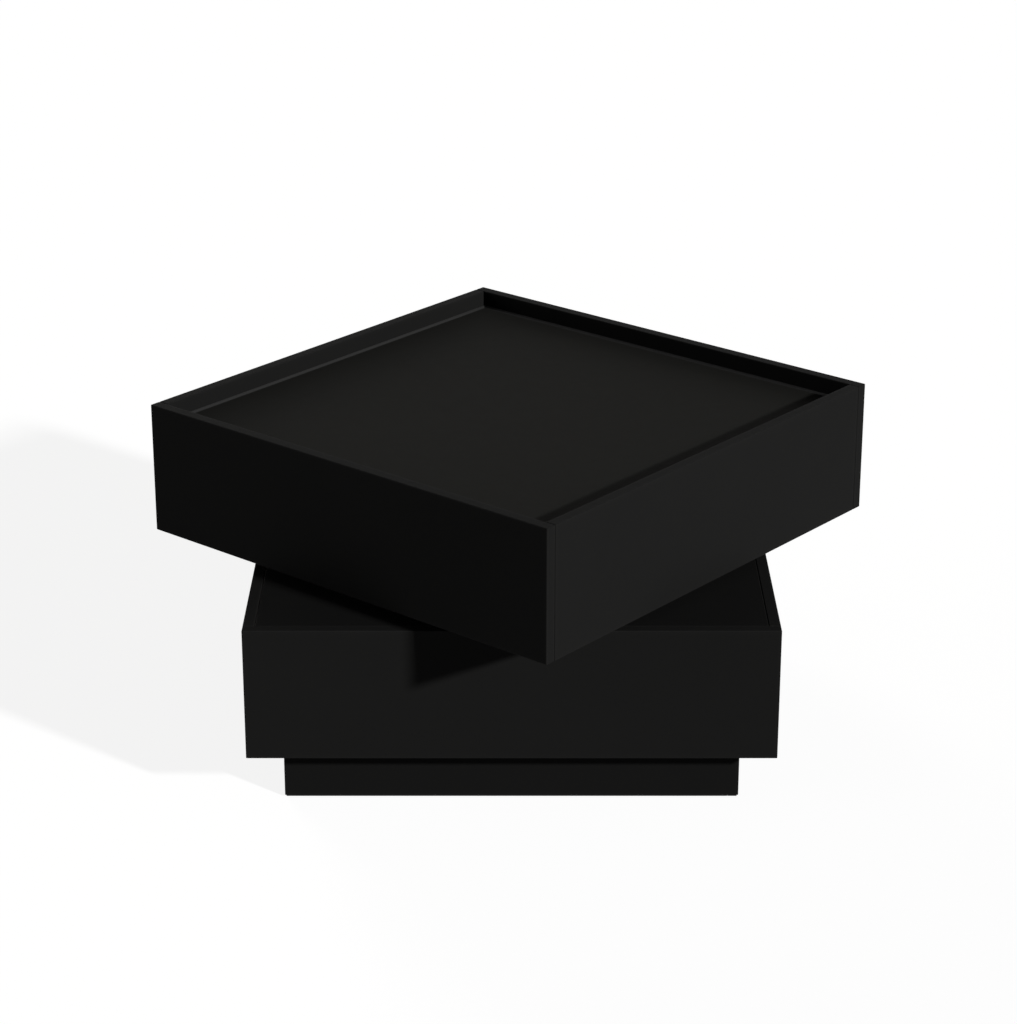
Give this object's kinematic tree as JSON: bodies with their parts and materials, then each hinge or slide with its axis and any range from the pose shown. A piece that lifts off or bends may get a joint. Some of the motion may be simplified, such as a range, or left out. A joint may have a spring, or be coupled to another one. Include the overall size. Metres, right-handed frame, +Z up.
{
  "type": "swivel coffee table",
  "caption": "Square two-tier coffee table: a recessed plinth carries a closed lower case, and a tray-topped upper case turns above it on a ball bearing.",
  "frame": {"origin": "on the floor, under the middle of the table, on the swivel axis", "axes": "+Z up along the swivel axis, the front of the lower case faces -Y, and the upper case is stored turned by 40 degrees clockwise as seen from above, as in the picture"},
  "size_m": [0.9848, 0.9848, 0.465],
  "materials": {
    "black_board": "matte black faced board with eased edges",
    "raw_board": "unfaced particle board",
    "batten_wood": "planed softwood",
    "felt": "pressed felt",
    "bearing_aluminium": "milled aluminium",
    "fixing_steel": "zinc plated steel",
    "ball_steel": "polished steel",
    "cage_plastic": "natural nylon"
  },
  "bodies": {
    "base": {"plinth_front_board": "black_board", "plinth_back_board": "black_board", "plinth_left_board": "black_board", "plinth_right_board": "black_board", "lower_front_panel": "black_board", "lower_back_panel": "black_board", "lower_left_panel": "black_board", "lower_right_panel": "black_board", "lower_bottom_panel": "black_board", "lower_top_panel": "black_board", "lower_long_rib": "raw_board", "lower_cross_rib": "raw_board", "lower_corner_posts": "batten_wood", "lower_top_ledgers": "batten_wood", "lower_bottom_ledgers": "batten_wood", "plinth_centre_rail": "raw_board", "plinth_corner_blocks": "batten_wood", "floor_pads": "felt", "bearing_lower_plate": "bearing_aluminium", "bearing_plate_screws": "fixing_steel", "bearing_centre_bolt": "fixing_steel", "bearing_centre_nut": "fixing_steel"},
    "ball_ring": {"bearing_ball_cage": "cage_plastic", "bearing_balls": "ball_steel"},
    "top": {"bearing_upper_plate": "bearing_aluminium", "bearing_plate_bolts": "fixing_steel", "upper_front_panel": "black_board", "upper_back_panel": "black_board", "upper_left_panel": "black_board", "upper_right_panel": "black_board", "upper_bottom_panel": "black_board", "tray_panel": "black_board", "upper_long_rib": "raw_board", "upper_cross_rib": "raw_board", "upper_corner_posts": "batten_wood", "tray_ledgers": "batten_wood", "upper_bottom_ledgers": "batten_wood"}
  },
  "joints": [
    {"name": "top_swivel", "type": "hinge", "parent": "base", "child": "top", "pos_m": [0, 0, 0.2725], "axis": [0, 0, 1], "continuous": true},
    {"name": "ball_ring_turn", "type": "hinge", "parent": "base", "child": "ball_ring", "pos_m": [0, 0, 0.2725], "axis": [0, 0, 1], "continuous": true}
  ],
  "couplings": [
    {"joint": "ball_ring_turn", "follows": "top_swivel", "ratio": 0.5}
  ]
}
